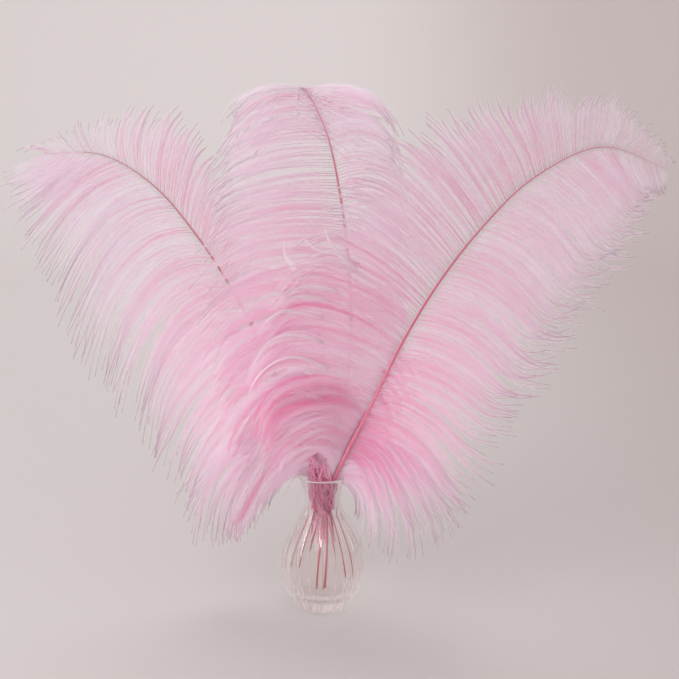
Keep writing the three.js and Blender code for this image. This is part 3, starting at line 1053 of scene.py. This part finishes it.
# ---- Settings a user would change ----
class PlumeSettings(bpy.types.PropertyGroup):
    barb_width: bpy.props.FloatProperty(
        name="Barb width", description="Thickness of a barb where it leaves the shaft",
        default=0.0005, unit="LENGTH", precision=5)
    barbule_length: bpy.props.FloatProperty(
        name="Barbule length", description="Length of the longest barbules",
        default=0.0094, unit="LENGTH", precision=4)
    barbule_width: bpy.props.FloatProperty(
        name="Barbule width",
        description="Width of a barbule at its root, coarser than life so that it shows",
        default=0.00032, unit="LENGTH", precision=5)
    barbule_spacing: bpy.props.FloatProperty(
        name="Barbule spacing", description="Length of barb for each barbule, counting both sides",
        default=0.00015, unit="LENGTH", precision=5)
    loft: bpy.props.FloatProperty(
        name="Loft", description="How far barb ends stand out of the vane's surface",
        default=0.0038, unit="LENGTH", precision=4)
    translucency: bpy.props.FloatProperty(
        name="Translucency", description="Share of light that passes through a fibre",
        default=0.42, min=0, max=1, subtype="FACTOR")
    pale_dye: bpy.props.FloatVectorProperty(
        name="Pale dye", description="Colour of a thinly dyed barb",
        subtype="COLOR", size=3, default=linear("#f9eff7"))
    deep_dye: bpy.props.FloatVectorProperty(
        name="Deep dye", description="Colour of a deeply dyed barb",
        subtype="COLOR", size=3, default=linear("#f8a7cf"))
    # Painted shade: the colour the thin barb ends are painted for their shaded sides.
    shaded_end_colour: bpy.props.FloatVectorProperty(
        name="End colour", description="Colour of the worn ends of the barbs",
        subtype="COLOR", size=3, default=linear("#b58f9c"))


class VaseSettings(bpy.types.PropertyGroup):
    flute_depth: bpy.props.FloatProperty(
        name="Flute depth", description="How deep the flutes are pressed at the widest ring",
        default=0.0013, unit="LENGTH", precision=4)
    # A faint pink tint: partly the glass's own tint, partly painted pink light for the plumes seen through
    # it.
    glass_tint_and_pink_cast: bpy.props.FloatVectorProperty(
        name="Glass colour", description="Tint of the glass",
        subtype="COLOR", size=3, default=linear("#fbf6f6"))
    glass_ior: bpy.props.FloatProperty(
        name="Glass IOR", description="Index of refraction of soda-lime glass",
        default=1.52, min=1, max=2)


class StageSettings(bpy.types.PropertyGroup):
    paper: bpy.props.FloatVectorProperty(
        name="Paper", description="Colour of the background paper",
        subtype="COLOR", size=3, default=linear("#d5d0cf"))
    # Painted shade: the paper's right side is painted duller and darker.
    paper_shaded_right: bpy.props.FloatVectorProperty(
        name="Paper at the right", description="Colour of the background paper at its right side",
        subtype="COLOR", size=3, default=linear("#c4bab9"))
    # Painted shade: the paper on the floor is painted darker than on the wall.
    floor_shade: bpy.props.FloatProperty(
        name="Floor tone", description="How light the paper is on the floor beside the wall",
        default=0.86, min=0, max=1, subtype="FACTOR")
    key_power: bpy.props.FloatProperty(
        name="Key light", description="Power of the large soft light on the left",
        default=16.5, unit="POWER")
    fill_power: bpy.props.FloatProperty(
        name="Fill light", description="Power of the soft light on the right",
        default=1.4, unit="POWER")
    front_power: bpy.props.FloatProperty(
        name="Front light", description="Power of the small soft light low at the front",
        default=0.072, unit="POWER")
    strip_power: bpy.props.FloatProperty(
        name="Strip light", description="Power of the narrow light that draws lines on the glass",
        default=1.2, unit="POWER")
    top_power: bpy.props.FloatProperty(
        name="Top light", description="Power of the soft light above and behind",
        default=9, unit="POWER")
    backdrop_power: bpy.props.FloatProperty(
        name="Backdrop light", description="Power of the light on the upright part of the paper",
        default=6, unit="POWER")
    surround: bpy.props.FloatProperty(
        name="Surround", description="Strength of the pale room light", default=0.9, min=0)


# ---- Operators, panel and registration ----
class PlumesVase(bpy.types.Operator):
    """Makes the fluted glass vase"""
    bl_idname = "plumes.vase"
    bl_label = "Make vase"

    def execute(self, context):
        vase = make_vase(context.scene.vase_settings)
        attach(vase, BODY)
        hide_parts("vase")
        return {"FINISHED"}


class PlumesShafts(bpy.types.Operator):
    """Makes each plume's quill and shaft"""
    bl_idname = "plumes.shafts"
    bl_label = "Make shafts"

    def execute(self, context):
        material = dyed_quill()
        for name, plume in PLUMES.items():
            shaft = make_shaft(f"{name}_shaft", plume, material)
            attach(shaft, BODY)
            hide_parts(plume["node"])
        return {"FINISHED"}


class PlumesBarbs(bpy.types.Operator):
    """Grows the barbs and barbules on both sides of each shaft"""
    bl_idname = "plumes.barbs"
    bl_label = "Grow barbs"

    def execute(self, context):
        settings = context.scene.plume_settings
        seed = FIRST_SEED
        for name, plume in PLUMES.items():
            material = dyed_plume(settings, f"dyed_plume_{name}", settings.pale_dye,
                                  settings.translucency)
            for side, vane in plume["vanes"].items():
                barbs = make_vane(f"{name}_barbs_{side}", plume, vane, settings, material, seed)
                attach(barbs, BODY)
                seed += 1
        # The loose tufts are painted nearly white, paler than the vanes: partly their own pale colour,
        # partly painted light for the light they catch standing out in front.
        pale_and_lit_tufts = dyed_plume(settings, "pale_plume_tufts", linear("#fff4f9"), TUFT_TRANSLUCENCY)
        tufts = make_tufts("right_loose_tufts", settings, pale_and_lit_tufts, seed)
        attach(tufts, BODY)
        # The tucked down gets a brighter, pinker copy of the plume material: partly deeper dye, partly
        # painted light that makes up for the shade inside the vase's neck.
        deep = dyed_plume(settings, "deep_plume_tucked", linear("#ffc6df"), TUCKED_TRANSLUCENCY)
        tucked = make_tucked_down("right_tucked_down", settings, deep, seed + 1)
        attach(tucked, BODY)
        return {"FINISHED"}


class PlumesStage(bpy.types.Operator):
    """Sets up the camera, the background paper and the lights"""
    bl_idname = "plumes.stage"
    bl_label = "Set stage"

    def execute(self, context):
        settings = context.scene.stage_settings
        make_camera()
        paper = make_paper(settings)
        make_lights(settings)
        make_room(context.scene, settings)
        return {"FINISHED"}


STEPS = (PlumesStage, PlumesVase, PlumesShafts, PlumesBarbs)
SETTINGS = {
    "plume_settings": PlumeSettings,
    "vase_settings": VaseSettings,
    "stage_settings": StageSettings,
}


class PlumesPanel(bpy.types.Panel):
    bl_idname = "VIEW3D_PT_plumes"
    bl_label = "Plumes"
    bl_space_type = "VIEW_3D"
    bl_region_type = "UI"
    bl_category = "Plumes"

    def draw(self, context):
        for step in STEPS:
            self.layout.operator(step.bl_idname)
        for label in SETTINGS:
            group = getattr(context.scene, label)
            for name in group.__annotations__:
                self.layout.prop(group, name)


CLASSES = (*SETTINGS.values(), *STEPS, PlumesPanel)


def register():
    for cls in CLASSES:
        bpy.utils.register_class(cls)
    for label, group in SETTINGS.items():
        setattr(bpy.types.Scene, label, bpy.props.PointerProperty(type=group))


def unregister():
    for label in SETTINGS:
        delattr(bpy.types.Scene, label)
    for cls in reversed(CLASSES):
        bpy.utils.unregister_class(cls)


def main():
    register()
    bpy.ops.plumes.stage()
    bpy.ops.plumes.vase()
    bpy.ops.plumes.shafts()
    bpy.ops.plumes.barbs()


if __name__ == "__main__":
    main()
